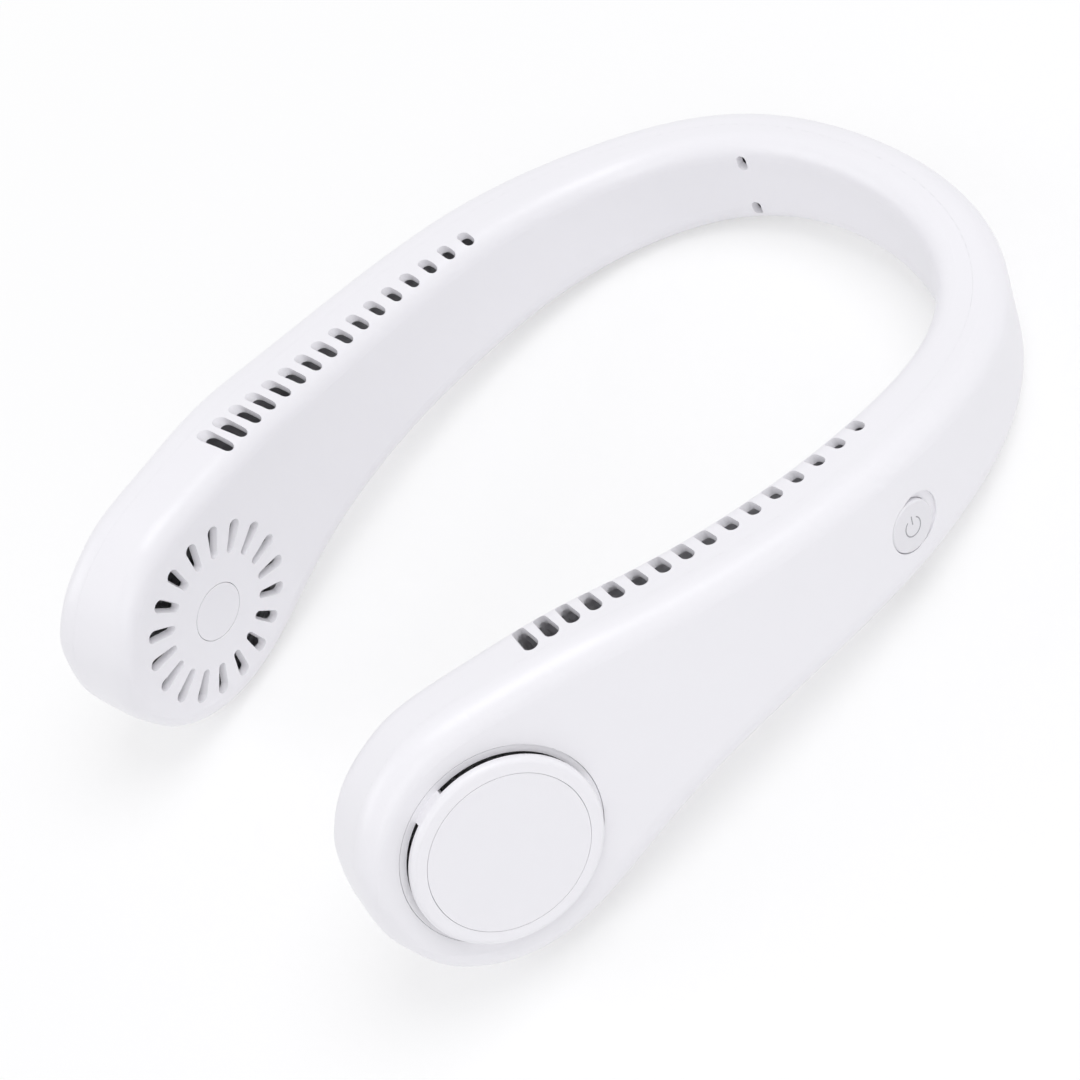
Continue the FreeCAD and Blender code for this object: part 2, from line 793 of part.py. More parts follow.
def motor_mount(side):
    solid = fuse(side + "_mount_blank", [
        cylinder(side + "_mount_plate", dim.mount_radius, motor_base, mount_top),
        cylinder(side + "_mount_tube", dim.tube_radius, motor_base, bush_top),
    ])
    holes = turned(side + "_mount_hole", dim.screw_count, lambda name: cylinder(
        name, dim.screw_shank_radius, motor_base - 1, mount_top + 1, dim.screw_circle))
    return cut(side + "_motor_mount", solid, [
        cylinder(side + "_mount_bore", dim.bush_radius, bush_bottom, bush_top + 1)] + holes)


def motor_screws(side):
    screws = turned(side + "_motor_screw", dim.screw_count, lambda name: fuse(name, [
        cylinder(name + "_head", dim.screw_head_radius, mount_top, mount_top + dim.screw_head_height,
                 dim.screw_circle),
        cylinder(name + "_shank", dim.screw_shank_radius, motor_base - dim.screw_depth, mount_top,
                 dim.screw_circle),
    ]))
    group = doc.addObject("Part::Compound", side + "_motor_screws")
    group.Links = screws
    return group


def tooth_box(name, from_radius, to_radius, width, bottom, top):
    return box(name, (from_radius, -width / 2, bottom), (to_radius, width / 2, top))


def stator_core(side):
    shoe_radius = dim.stator_radius - dim.shoe_thickness
    teeth = turned(side + "_tooth", dim.tooth_count, lambda name: tooth_box(
        name, dim.tube_radius + dim.stator_hub / 2, shoe_radius + dim.shoe_thickness / 2, dim.tooth_width,
        stator_bottom, stator_top))
    hub = tube(side + "_stator_hub", dim.tube_radius + dim.stator_hub, dim.tube_radius,
               stator_bottom, stator_top)
    shoes = tube(side + "_stator_shoes", dim.stator_radius, shoe_radius, stator_bottom, stator_top)
    half_step = Placement(Vector(), Rotation(Vector(0, 0, 1), 180.0 / dim.tooth_count.value))
    gaps = doc.addObject("Part::Compound", side + "_shoe_gaps")
    gaps.Links = turned(side + "_shoe_gap", dim.tooth_count, lambda name: tooth_box(
        name, dim.tube_radius + dim.stator_hub + dim.shoe_gap / 2, dim.stator_radius + 1, dim.shoe_gap,
        stator_bottom - 1, stator_top + 1))
    gaps.Placement = half_step
    return cut(side + "_stator_core", fuse(side + "_stator_blank", [hub, shoes] + teeth), [gaps])


def stator_coils(side):
    inner = dim.tube_radius + dim.stator_hub + dim.seam_gap
    outer = dim.stator_radius - dim.shoe_thickness - dim.seam_gap * 2
    width = dim.tooth_width + dim.coil_wire_depth * 2
    coils = turned(side + "_coil", dim.tooth_count, lambda name: cut(
        name, tooth_box(name + "_wound", inner, outer, width, coil_bottom, coil_top),
        [tooth_box(name + "_eye", inner - 1, outer + 1, dim.tooth_width, stator_bottom, stator_top)]))
    group = doc.addObject("Part::Compound", side + "_stator_coils")
    group.Links = coils
    return group


def rotor_yoke(side):
    inside_top = yoke_top - dim.yoke_thickness
    return cut(side + "_rotor_yoke", cylinder(side + "_yoke_cup", yoke_outer, yoke_bottom, yoke_top), [
        cylinder(side + "_yoke_inside", magnet_outer, yoke_bottom - 1, inside_top),
        cylinder(side + "_yoke_hole", dim.shaft_radius, yoke_bottom, yoke_top + 1),
    ])


def origin_plane(body, role):
    return [f for f in body.Origin.OriginFeatures if f.Role == role][0]


def sketch_on(body, name, role):
    sketch = body.newObject("Sketcher::SketchObject", name)
    sketch.AttachmentSupport = [(origin_plane(body, role), "")]
    sketch.MapMode = "FlatFace"
    return sketch


def outline(sketch, points):
    """Closed outline through points, each held by distances from the origin bound to the sheet."""
    count = len(points)
    spots = [Vector(x.value, y.value, 0) for x, y in points]
    for i in range(count):
        sketch.addGeometry(Part.LineSegment(spots[i], spots[(i + 1) % count]), False)
    for i in range(count):
        sketch.addConstraint(Sketcher.Constraint("Coincident", i, 2, (i + 1) % count, 1))
    for i, (x, y) in enumerate(points):
        for kind, axis, size in (("DistanceX", -2, x), ("DistanceY", -1, y)):
            if size.value == 0:
                sketch.addConstraint(Sketcher.Constraint("PointOnObject", i, 1, axis))
            else:
                index = sketch.addConstraint(Sketcher.Constraint(kind, -1, 1, i, 1, size.value))
                sketch.setExpression("Constraints[%d]" % index, size.text)


def impeller(side):
    """Wheel with a hub cup over the motor, a middle web and swept blades tied by two rims."""
    body = doc.addObject("PartDesign::Body", side + "_impeller")
    blade_top = dim.blade_bottom + dim.blade_height
    web_bottom = dim.blade_bottom + dim.blade_height / 2
    web_top = web_bottom + dim.web_thickness
    hub = sketch_on(body, side + "_hub_profile", "XZ_Plane")
    outline(hub, [
        (dim.shaft_radius, yoke_top), (yoke_outer, yoke_top), (yoke_outer, yoke_bottom + dim.rim_thickness),
        (hub_radius, yoke_bottom + dim.rim_thickness), (hub_radius, web_bottom),
        (dim.impeller_radius, web_bottom), (dim.impeller_radius, web_top),
        (hub_radius, web_top), (hub_radius, hub_top), (dim.shaft_radius, hub_top),
    ])
    turn = body.newObject("PartDesign::Revolution", side + "_hub")
    turn.Profile = hub
    turn.ReferenceAxis = (hub, ["V_Axis"])
    turn.Angle = 360.0
    blade = sketch_on(body, side + "_blade_profile", "XY_Plane")
    bind(blade, "AttachmentOffset.Base.z", dim.blade_bottom)
    half = dim.blade_thickness / 2
    tip = dim.impeller_radius - dim.rim_width / 2
    outline(blade, [
        (dim.blade_inner_radius, -half), (tip, dim.blade_sweep - half),
        (tip, dim.blade_sweep + half), (dim.blade_inner_radius, half),
    ])
    pad = body.newObject("PartDesign::Pad", side + "_blade")
    pad.Profile = blade
    bind(pad, "Length", dim.blade_height)
    doc.recompute()
    pattern = body.newObject("PartDesign::PolarPattern", side + "_blades")
    pattern.Originals = [pad]
    pattern.Axis = (blade, ["N_Axis"])
    pattern.Angle = 360.0
    bind(pattern, "Occurrences", dim.blade_count)
    body.Tip = pattern
    doc.recompute()
    for label, low, high in (("low", dim.blade_bottom, dim.blade_bottom + dim.rim_thickness),
                             ("high", blade_top - dim.rim_thickness, blade_top)):
        rim = sketch_on(body, "%s_%s_rim_profile" % (side, label), "XZ_Plane")
        inside = dim.impeller_radius - dim.rim_width
        outline(rim, [(inside, low), (dim.impeller_radius, low), (dim.impeller_radius, high), (inside, high)])
        ring = body.newObject("PartDesign::Revolution", "%s_%s_rim" % (side, label))
        ring.Profile = rim
        ring.ReferenceAxis = (rim, ["V_Axis"])
        ring.Angle = 360.0
        body.Tip = ring
        doc.recompute()
    return body


def placed(name, obj):
    holder = doc.addObject("Part::Compound", name + "_place")
    holder.Links = [obj]
    return holder


for name in sides:
    place = fan_place[name]
    piece(name + "_center_cap", placed(name + "_center_cap", cylinder(
        name + "_cap", dim.cap_radius, none, motor_base)), place)
    piece(name + "_motor_mount", motor_mount(name), place)
    piece(name + "_motor_screws", motor_screws(name), place)
    piece(name + "_motor_board", tube(
        name + "_motor_board", dim.board_radius, dim.tube_radius + dim.seam_gap,
        mount_top, motor_board_top), place)
    piece(name + "_bearing_bush", tube(
        name + "_bearing_bush", dim.bush_radius, dim.shaft_radius + dim.shaft_clearance,
        bush_bottom, bush_top), place)
    piece(name + "_stator_core", stator_core(name), place)
    piece(name + "_stator_coils", stator_coils(name), place)
    piece(name + "_rotor_yoke", rotor_yoke(name), place)
    magnet_bottom = yoke_bottom + dim.seam_gap * 2
    piece(name + "_rotor_magnet", tube(
        name + "_rotor_magnet", magnet_outer, magnet_outer - dim.magnet_thickness, magnet_bottom,
        magnet_bottom + dim.magnet_height), place)
    piece(name + "_rotor_shaft", placed(name + "_rotor_shaft", cylinder(
        name + "_shaft", dim.shaft_radius, bush_bottom + dim.shaft_end_gap, hub_top)), place)
    piece(name + "_impeller", impeller(name), place)


# Power button, switch, board and charging socket, in the button's frame

def power_button():
    cap = cylinder("button_cap", dim.button_radius, flange_bottom, dim.button_proud)
    cap = rounded("button_cap_round", cap, dim.button_edge,
                  lambda edge: len(edge.Vertexes) == 1 and edge.CenterOfMass.z > 0)
    return fuse("power_button", [
        cap,
        cylinder("button_flange", dim.button_radius + dim.button_flange, flange_bottom, flange_top),
        cylinder("button_stem", dim.stem_radius, stem_bottom,
                 flange_bottom + dim.button_flange_thickness / 2),
    ])


def main_board():
    half = dim.main_board_length / 2
    board = box("main_board_blank", (-half, -dim.main_board_below, board_back),
                (half, dim.main_board_above, board_face))
    holes = [cylinder("main_board_hole_%d" % number, dim.screw_shank_radius, board_back - 1, board_face + 1,
                      dim.post_spacing * (end / 2), dim.post_rise) for number, end in ((1, -1), (2, 1))]
    return cut("main_board", board, holes)


def board_screws():
    group = doc.addObject("Part::Compound", "board_screws")
    group.Links = [fuse("board_screw_%d" % number, [
        cylinder("board_screw_head_%d" % number, dim.screw_head_radius, board_back - dim.screw_head_height,
                 board_back, dim.post_spacing * (end / 2), dim.post_rise),
        cylinder("board_screw_shank_%d" % number, dim.screw_shank_radius, board_back,
                 board_face + dim.post_screw_depth, dim.post_spacing * (end / 2), dim.post_rise),
    ]) for number, end in ((1, -1), (2, 1))]
    return group


def tact_switch():
    half = dim.switch_size / 2
    case = box("switch_case", (-half, -half, board_face), (half, half, switch_top))
    well_bottom = stem_bottom - dim.plunger_length - dim.button_travel - dim.press_room
    return cut("tact_switch", case, [
        cylinder("switch_well", dim.plunger_radius + dim.plunger_gap, well_bottom, switch_top + 1)])


def usb_socket():
    half = dim.socket_width / 2
    back = socket_mouth + dim.socket_length
    can = box("socket_can", (-half, socket_mouth, board_face), (half, back, socket_top))
    can = rounded("socket_can_round", can, dim.socket_height / 2 - dim.seam_gap,
                  lambda edge: abs(edge.Vertexes[0].Point.y - edge.Vertexes[1].Point.y) > dim.wall.value)
    inside = box("socket_inside", (dim.socket_wall - half, socket_mouth - 1, board_face + dim.socket_wall),
                 (half - dim.socket_wall, back - dim.socket_wall * 2, socket_top - dim.socket_wall))
    inside = rounded("socket_inside_round", inside, dim.socket_height / 2 - dim.socket_wall - dim.seam_gap,
                     lambda edge: abs(edge.Vertexes[0].Point.y - edge.Vertexes[1].Point.y) > dim.wall.value)
    middle = board_face + dim.socket_height / 2
    tongue = box("socket_tongue", (-dim.tongue_width / 2, back - dim.socket_wall * 3 - dim.tongue_length,
                                   middle - dim.tongue_thickness / 2),
                 (dim.tongue_width / 2, back - dim.socket_wall, middle + dim.tongue_thickness / 2))
    return fuse("usb_socket", [cut("socket_shell", can, [inside]), tongue])


piece("power_button", power_button(), button_frame)
piece("main_board", main_board(), button_frame)
piece("board_screws", board_screws(), button_frame)
piece("tact_switch", tact_switch(), button_frame)
piece("switch_plunger", placed("switch_plunger", cylinder(
    "plunger", dim.plunger_radius, stem_bottom - dim.plunger_length, stem_bottom)), button_frame)
piece("usb_socket", usb_socket(), button_frame)


# Cells on their pads, and the dividers over them

def battery_cell(side):
    half = dim.cell_thickness / 2
    blank = box(side + "_cell_blank", (-dim.cell_length / 2, -dim.cell_height / 2, -half),
                (dim.cell_length / 2, dim.cell_height / 2, half))
    return rounded(side + "_battery_cell", blank, dim.cell_edge,
                   lambda edge: abs(edge.Vertexes[0].Point.x - edge.Vertexes[1].Point.x) > dim.wall.value)


def divider_slab(side):
    """A band over one arm that follows its rise and turns up behind the last slot to close the duct."""
    low = []
    run = dim.divider_end.value - dim.divider_start.value
    for step in range(arm_steps + 1):
        section = Section(dim.divider_start.value + run * step / arm_steps)
        low.append(Vector(0, section.centre.y, section.centre.z + dim.divider_rise.value))
    high = [spot + Vector(0, 0, dim.divider_thickness.value) for spot in low]
    lower = Part.BSplineCurve()
    lower.interpolate(low)
    upper = Part.BSplineCurve()
    upper.interpolate(high)
    edges = [lower.toShape(), Part.LineSegment(low[-1], high[-1]).toShape(), upper.toShape(),
             Part.LineSegment(high[0], low[0]).toShape()]
    across = Vector(side * arm_length, 0, 0)
    band = Part.Face(Part.Wire(edges)).extrude(across)
    corner = low[-1]
    back = Vector(0, dim.divider_thickness.value, 0)
    tall = Vector(0, 0, dim.head_height.value)
    end = Part.makePolygon([corner, corner + back, corner + back + tall, corner + tall, corner])
    return band.fuse(Part.Face(end).extrude(across)).removeSplitter()


cell_section = Section(dim.cell_place.value)
for name, side in sides.items():
    place = cell_section.placement(-dim.cell_inset.value, -dim.cell_drop.value, 0.0, side, follow=True)
    piece(name + "_battery_cell", battery_cell(name), place)
    pad_block = box(name + "_pad_block", (-dim.pad_length / 2, -dim.pad_height / 2, dim.cell_thickness / 2),
                    (dim.pad_length / 2, dim.pad_height / 2, dim.cell_thickness * 3))
    pad_holder = placed(name + "_pad_block", pad_block)
    pad_holder.Placement = place
    piece(name + "_battery_pad", common(name + "_battery_pad", filling, pad_holder), Placement())
    slab = feature(name + "_divider_slab", divider_slab(side))
    piece(name + "_duct_divider", common(name + "_duct_divider", filling, slab), Placement())


# Check, then write each sub-part

doc.recompute()
for obj in doc.Objects:
    if "Invalid" in obj.State or "Error" in obj.State:
        raise RuntimeError("failed object: " + obj.Name)
os.makedirs("parts", exist_ok=True)
for node, obj in pieces.items():
    if obj.Shape.isNull() or not obj.Shape.isValid():
        raise RuntimeError("bad shape: " + node)
for node, obj in pieces.items():
    print(node, len(obj.Shape.Solids), round(obj.Shape.Volume, 1))
    obj.Shape.exportStep("parts/%s.step" % node)
socket_middle = Vector(0, socket_mouth.value, (board_face + dim.socket_height / 2).value)
port_frame = button_frame.multiply(Placement(socket_middle, Rotation(Vector(1, 0, 0), 90)))
frames = {"left_fan": fan_place["left"], "right_fan": fan_place["right"], "button": button_frame,
          "port": port_frame}
for name, place in frames.items():
    print(name, place.Base, place.Rotation.multVec(Vector(0, 0, 1)))
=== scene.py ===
import json
import math
import bpy
from mathutils import Matrix, Vector


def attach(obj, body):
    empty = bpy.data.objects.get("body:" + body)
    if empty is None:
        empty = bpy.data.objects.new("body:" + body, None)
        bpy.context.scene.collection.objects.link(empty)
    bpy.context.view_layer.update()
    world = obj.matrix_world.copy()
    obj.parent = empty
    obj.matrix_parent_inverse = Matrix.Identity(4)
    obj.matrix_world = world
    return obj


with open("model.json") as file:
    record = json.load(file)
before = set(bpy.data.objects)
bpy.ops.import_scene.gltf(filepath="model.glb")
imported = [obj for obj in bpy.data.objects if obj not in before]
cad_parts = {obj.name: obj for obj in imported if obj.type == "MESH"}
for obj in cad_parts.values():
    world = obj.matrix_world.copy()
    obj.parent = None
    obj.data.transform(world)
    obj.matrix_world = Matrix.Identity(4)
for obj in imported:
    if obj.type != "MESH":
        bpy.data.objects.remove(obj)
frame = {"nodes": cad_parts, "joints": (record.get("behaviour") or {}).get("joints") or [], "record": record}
nodes = frame["nodes"]
joints = {joint["name"]: joint for joint in frame["joints"]}
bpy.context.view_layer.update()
millimetre = 0.001
print("frame loaded,", len(nodes), "nodes")

# camera, found by fitting the solids' outlines and seams to the photograph
cameraSetup = {
    "azimuth": 69.98,
    "elevation": 46.91,
    "roll": -32.77,
    "distance": 524.6,       # from the target, mm
    "target": (8.77, -20.08, 25.08),
    "focalPixels": 2283.0,   # focal length in photograph pixels
    "framePixels": 1080.0,
    "sensorWidth": 36.0,
    "clipStart": 0.01,       # m
}


def addCamera(setup):
    azimuth, elevation, roll = [math.radians(setup[k]) for k in ("azimuth", "elevation", "roll")]
    back = Vector((math.sin(azimuth) * math.cos(elevation),
                   -math.cos(azimuth) * math.cos(elevation), math.sin(elevation)))
    right = Vector((math.cos(azimuth), math.sin(azimuth), 0))
    up = back.cross(right)
    rolledRight = right * math.cos(roll) + up * math.sin(roll)
    rolledUp = up * math.cos(roll) - right * math.sin(roll)
    data = bpy.data.cameras.new("photoCamera")
    data.sensor_width = setup["sensorWidth"]
    data.lens = setup["sensorWidth"] * setup["focalPixels"] / setup["framePixels"]
    data.clip_start = setup["clipStart"]
    camera = bpy.data.objects.new("photoCamera", data)
    place = (Vector(setup["target"]) + back * setup["distance"]) * millimetre
    turned = Matrix((rolledRight, rolledUp, back)).transposed().to_4x4()
    camera.matrix_world = Matrix.Translation(place) @ turned
    bpy.context.scene.collection.objects.link(camera)
    bpy.context.scene.camera = camera


addCamera(cameraSetup)
print("camera set")


# shared surface effects, as node groups

def newGroup(name, inputs, outputs):
    group = bpy.data.node_groups.new(name, "ShaderNodeTree")
    for label, kind, value in inputs:
        socket = group.interface.new_socket(name=label, in_out="INPUT", socket_type=kind)
        socket.default_value = value
    for label, kind in outputs:
        group.interface.new_socket(name=label, in_out="OUTPUT", socket_type=kind)
    start = group.nodes.new("NodeGroupInput")
    end = group.nodes.new("NodeGroupOutput")
    return group, start, end


def addNode(tree, kind, settings=None, values=None):
    node = tree.nodes.new(kind)
    for name, value in (settings or {}).items():
        setattr(node, name, value)
    for name, value in (values or {}).items():
        node.inputs[name].default_value = value
    return node


def mathNode(tree, operation, first, second):
    node = addNode(tree, "ShaderNodeMath", {"operation": operation})
    for index, value in enumerate((first, second)):
        if isinstance(value, (int, float)):
            node.inputs[index].default_value = value
        else:
            tree.links.new(value, node.inputs[index])
    return node.outputs[0]


def blendNode(tree, mask, low, high):
    node = addNode(tree, "ShaderNodeMix", {"data_type": "RGBA"})
    tree.links.new(mask, node.inputs["Factor"])
    for name, colour in (("A", low), ("B", high)):
        socket = [s for s in node.inputs if s.name == name and s.type == "RGBA"][0]
        if isinstance(colour, tuple):
            socket.default_value = colour + (1.0,)
        else:
            tree.links.new(colour, socket)
    return [s for s in node.outputs if s.type == "RGBA"][0]


def noiseNode(tree, vector, scale, detail):
    node = addNode(tree, "ShaderNodeTexNoise", values={"Scale": scale, "Detail": detail})
    tree.links.new(vector, node.inputs["Vector"])
    return node.outputs["Fac"]


skinGrain = {"broadScale": 26.0, "broadDetail": 3.0, "smudgeScale": 90.0, "smudgeDetail": 5.0,
             "rippleDetail": 2.0}


def makeMouldedSkin(grain):
    # slow drift of tone and gloss, and the faint ripple of a moulded face
    group, start, end = newGroup("mouldedSkin", [
        ("Colour", "NodeSocketColor", (0.8, 0.8, 0.8, 1)),
        ("Drift", "NodeSocketFloat", 0.02),
        ("Gloss", "NodeSocketFloat", 0.3),
        ("Gloss Drift", "NodeSocketFloat", 0.05),
        ("Ripple Size", "NodeSocketFloat", 500.0),
    ], [("Colour", "NodeSocketColor"), ("Roughness", "NodeSocketFloat"), ("Height", "NodeSocketFloat")])
    coordinates = addNode(group, "ShaderNodeTexCoord").outputs["Object"]
    broad = noiseNode(group, coordinates, grain["broadScale"], grain["broadDetail"])
    smudge = noiseNode(group, coordinates, grain["smudgeScale"], grain["smudgeDetail"])
    centred = mathNode(group, "SUBTRACT", broad, 0.5)
    shade = mathNode(group, "ADD", mathNode(group, "MULTIPLY", centred, start.outputs["Drift"]), 1.0)
    tint = addNode(group, "ShaderNodeVectorMath", {"operation": "SCALE"})
    group.links.new(start.outputs["Colour"], tint.inputs[0])
    group.links.new(shade, tint.inputs["Scale"])
    offCentre = mathNode(group, "SUBTRACT", smudge, 0.5)
    wander = mathNode(group, "MULTIPLY", offCentre, start.outputs["Gloss Drift"])
    group.links.new(tint.outputs[0], end.inputs["Colour"])
    group.links.new(mathNode(group, "ADD", start.outputs["Gloss"], wander), end.inputs["Roughness"])
    ripple = addNode(group, "ShaderNodeTexNoise", values={"Detail": grain["rippleDetail"]})
    group.links.new(coordinates, ripple.inputs["Vector"])
    group.links.new(start.outputs["Ripple Size"], ripple.inputs["Scale"])
    group.links.new(ripple.outputs["Fac"], end.inputs["Height"])
    return group


metalGrain = {"stretch": (1.0, 0.12, 1.0), "lineDetail": 4.0, "toneSpread": 0.3, "toneFloor": 0.85,
              "glossSpread": 0.2}


def makeDrawnGrain(grain):
    # fine lines of drawn, ground or plated metal
    group, start, end = newGroup("drawnGrain", [
        ("Colour", "NodeSocketColor", (0.6, 0.6, 0.6, 1)),
        ("Line Size", "NodeSocketFloat", 1500.0),
        ("Gloss", "NodeSocketFloat", 0.35),
    ], [("Colour", "NodeSocketColor"), ("Roughness", "NodeSocketFloat"), ("Height", "NodeSocketFloat")])
    coordinates = addNode(group, "ShaderNodeTexCoord").outputs["Object"]
    stretch = addNode(group, "ShaderNodeMapping", values={"Scale": grain["stretch"]})
    group.links.new(coordinates, stretch.inputs["Vector"])
    lines = addNode(group, "ShaderNodeTexNoise", values={"Detail": grain["lineDetail"]})
    group.links.new(stretch.outputs[0], lines.inputs["Vector"])
    group.links.new(start.outputs["Line Size"], lines.inputs["Scale"])
    streak = lines.outputs["Fac"]
    contrast = mathNode(group, "MULTIPLY", streak, grain["toneSpread"])
    shade = mathNode(group, "ADD", contrast, grain["toneFloor"])
    tint = addNode(group, "ShaderNodeVectorMath", {"operation": "SCALE"})
    group.links.new(start.outputs["Colour"], tint.inputs[0])
    group.links.new(shade, tint.inputs["Scale"])
    spread = mathNode(group, "MULTIPLY", mathNode(group, "SUBTRACT", streak, 0.5), grain["glossSpread"])
    group.links.new(tint.outputs[0], end.inputs["Colour"])
    group.links.new(mathNode(group, "ADD", start.outputs["Gloss"], spread), end.inputs["Roughness"])
    group.links.new(streak, end.inputs["Height"])
    return group


mouldedSkin = makeMouldedSkin(skinGrain)
drawnGrain = makeDrawnGrain(metalGrain)
print("surface effects made")


# finishes

def newFinish(name):
    material = bpy.data.materials.new(name)
    material.use_nodes = True
    tree = material.node_tree
    tree.nodes.clear()
    shader = addNode(tree, "ShaderNodeBsdfPrincipled")
    output = addNode(tree, "ShaderNodeOutputMaterial")
    tree.links.new(shader.outputs["BSDF"], output.inputs["Surface"])
    return material, tree, shader


def addBump(tree, shader, height, strength, depth):
    bump = addNode(tree, "ShaderNodeBump", values={"Strength": strength, "Distance": depth})
    tree.links.new(height, bump.inputs["Height"])
    tree.links.new(bump.outputs["Normal"], shader.inputs["Normal"])


def plasticFinish(name, look):
    material, tree, shader = newFinish(name)
    skin = addNode(tree, "ShaderNodeGroup", {"node_tree": mouldedSkin})
    skin.inputs["Colour"].default_value = look["colour"] + (1.0,)
    skin.inputs["Drift"].default_value = look["drift"]
    skin.inputs["Gloss"].default_value = look["gloss"]
    skin.inputs["Gloss Drift"].default_value = look["glossDrift"]
    skin.inputs["Ripple Size"].default_value = look["rippleSize"]
    tree.links.new(skin.outputs["Colour"], shader.inputs["Base Color"])
    tree.links.new(skin.outputs["Roughness"], shader.inputs["Roughness"])
    shader.inputs["IOR"].default_value = look["ior"]
    if look["rippleStrength"] > 0:
        addBump(tree, shader, skin.outputs["Height"], look["rippleStrength"], look["rippleDepth"])
    return material


def metalFinish(name, look):
    material, tree, shader = newFinish(name)
    grain = addNode(tree, "ShaderNodeGroup", {"node_tree": drawnGrain})
    grain.inputs["Colour"].default_value = look["colour"] + (1.0,)
    grain.inputs["Line Size"].default_value = look["lineSize"]
    grain.inputs["Gloss"].default_value = look["gloss"]
    tree.links.new(grain.outputs["Colour"], shader.inputs["Base Color"])
    tree.links.new(grain.outputs["Roughness"], shader.inputs["Roughness"])
    shader.inputs["Metallic"].default_value = 1.0
    addBump(tree, shader, grain.outputs["Height"], look["lineStrength"], look["lineDepth"])
    return material


def windingFinish(name, look):
    # rows of enamelled wire
    material, tree, shader = newFinish(name)
    coordinates = addNode(tree, "ShaderNodeTexCoord").outputs["Object"]
    turns = addNode(tree, "ShaderNodeTexWave", {"wave_profile": "SIN"}, {"Scale": look["turnsPerMetre"]})
    tree.links.new(coordinates, turns.inputs["Vector"])
    colour = blendNode(tree, turns.outputs["Fac"], look["shadow"], look["colour"])
    tree.links.new(colour, shader.inputs["Base Color"])
    shader.inputs["Metallic"].default_value = look["metallic"]
    shader.inputs["Roughness"].default_value = look["gloss"]
    addBump(tree, shader, turns.outputs["Fac"], look["turnStrength"], look["turnDepth"])
    return material


def boardFinish(name, look):
    # solder mask over a grid of tracks
    material, tree, shader = newFinish(name)
    coordinates = addNode(tree, "ShaderNodeTexCoord").outputs["Object"]
    tracks = addNode(tree, "ShaderNodeTexBrick", {"offset": look["trackOffset"]}, {
        "Scale": look["trackScale"], "Mortar Size": look["trackWidth"], "Color1": look["colour"] + (1.0,),
        "Color2": look["colourTwo"] + (1.0,), "Mortar": look["track"] + (1.0,)})
    tree.links.new(coordinates, tracks.inputs["Vector"])
    tree.links.new(tracks.outputs["Color"], shader.inputs["Base Color"])
    shader.inputs["Roughness"].default_value = look["gloss"]
    addBump(tree, shader, tracks.outputs["Fac"], look["trackStrength"], look["trackDepth"])
    return material


shellWhite = {"colour": (0.86, 0.852, 0.878), "drift": 0.012, "gloss": 0.33, "glossDrift": 0.04, "ior": 1.5,
              "rippleSize": 900.0, "rippleStrength": 0.0, "rippleDepth": 0.00005}
satinWhite = dict(shellWhite, colour=(0.85, 0.842, 0.868), gloss=0.4, rippleSize=1600.0, rippleStrength=0.03)
# painted shade: the button is coloured a little darker than the shell, standing in for the shade on its face
buttonPaintedShade = dict(satinWhite, colour=(0.79, 0.782, 0.808))
# painted shade: the symbol's grey stands in for the shade that a groove collects
symbolPaintedShade = dict(satinWhite, colour=(0.36, 0.36, 0.38))
wheelGrey = dict(shellWhite, colour=(0.3, 0.3, 0.31), drift=0.06, gloss=0.5)
innerWhite = dict(shellWhite, colour=(0.8, 0.8, 0.81), drift=0.05, gloss=0.5)
switchBlack = dict(shellWhite, colour=(0.03, 0.03, 0.032), drift=0.2, gloss=0.5)
foamBlack = dict(shellWhite, colour=(0.05, 0.05, 0.05), drift=0.3, gloss=0.9, rippleSize=2500.0,
                 rippleStrength=0.6, rippleDepth=0.0002)
magnetDark = dict(shellWhite, colour=(0.06, 0.06, 0.065), drift=0.2, gloss=0.6)
platedSteel = {"colour": (0.6, 0.6, 0.62), "lineSize": 2500.0, "gloss": 0.3,
               "lineStrength": 0.15, "lineDepth": 0.00005}
castAluminium = dict(platedSteel, colour=(0.72, 0.72, 0.74), lineSize=900.0, gloss=0.42)
sheetSteel = dict(platedSteel, colour=(0.32, 0.33, 0.35), lineSize=4000.0, gloss=0.45)
sinteredBronze = dict(platedSteel, colour=(0.66, 0.45, 0.24), lineSize=3000.0, gloss=0.5)
pouchFoil = dict(platedSteel, colour=(0.68, 0.69, 0.71), lineSize=300.0, gloss=0.35)
copperWire = {"colour": (0.72, 0.33, 0.14), "shadow": (0.3, 0.11, 0.04), "gloss": 0.3, "metallic": 0.8,
              "turnsPerMetre": 900.0, "turnStrength": 0.6, "turnDepth": 0.0001}
boardGreen = {"colour": (0.02, 0.14, 0.06), "colourTwo": (0.02, 0.12, 0.05), "track": (0.05, 0.26, 0.11),
              "gloss": 0.35, "trackScale": 260.0, "trackOffset": 0.3, "trackWidth": 0.06,
              "trackStrength": 0.3, "trackDepth": 0.00004}

finishes = {
    "casing": plasticFinish("casingWhite", shellWhite),
    "cover": plasticFinish("coverWhite", shellWhite),
    "plate": plasticFinish("plateSatin", satinWhite),
    "cap": plasticFinish("capSatin", satinWhite),
    # the button's finish carries painted shade in its darker colour
    "button": plasticFinish("buttonSatinPaintedShade", buttonPaintedShade),
    "wheel": plasticFinish("wheelGrey", wheelGrey),
    "divider": plasticFinish("dividerWhite", innerWhite),
    "switch": plasticFinish("switchBlack", switchBlack),
    "plunger": plasticFinish("plungerBlack", switchBlack),
    "pad": plasticFinish("padFoam", foamBlack),
    "magnet": plasticFinish("magnetFerrite", magnetDark),
    "mount": metalFinish("mountAluminium", castAluminium),
    "fastener": metalFinish("screwSteel", platedSteel),
    "yoke": metalFinish("yokeSteel", platedSteel),
    "shaft": metalFinish("shaftSteel", platedSteel),
    "socket": metalFinish("socketPlated", platedSteel),
    "lamination": metalFinish("laminationSteel", sheetSteel),
    "bush": metalFinish("bushBronze", sinteredBronze),
    "cell": metalFinish("cellFoil", pouchFoil),
    "winding": windingFinish("windingCopper", copperWire),
    "circuit": boardFinish("circuitGreen", boardGreen),
}
